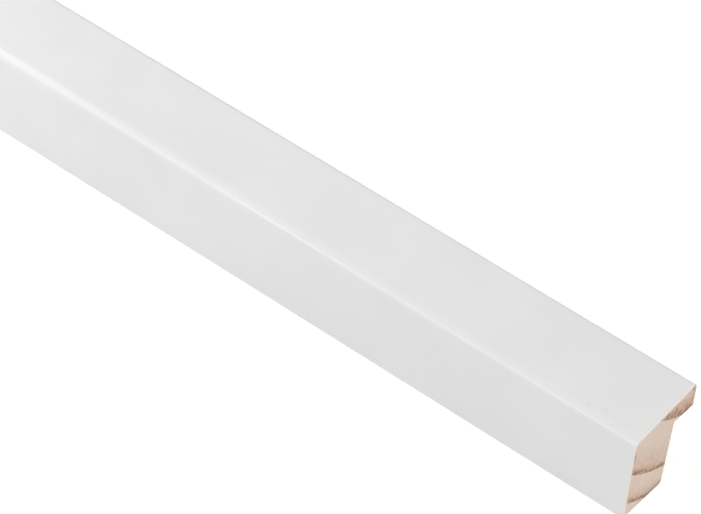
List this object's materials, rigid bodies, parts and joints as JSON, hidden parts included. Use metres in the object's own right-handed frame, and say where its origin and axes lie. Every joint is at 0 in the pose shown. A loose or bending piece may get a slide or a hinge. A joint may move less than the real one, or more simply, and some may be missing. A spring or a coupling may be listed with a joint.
{
  "type": "picture frame moulding",
  "caption": "Length of plain picture frame moulding in white-painted pine: flat face, soft outer ridge and an overhanging lip above a deep rabbet, cut square at both ends.",
  "frame": {"origin": "middle of the box around the stick, on the surface that its back lies on", "axes": "+X along the stick, towards the cut end that the picture shows; +Y across the face, from the outer side to the lip; +Z from the back up to the face"},
  "size_m": [0.18, 0.02, 0.0226],
  "materials": {
    "moulding": "white satin paint on the face, the outer side and the lip's edge; bare pine on the back, in the rabbet and on both cut ends"
  },
  "bodies": {
    "root": {"moulding": "moulding"}
  },
  "joints": []
}
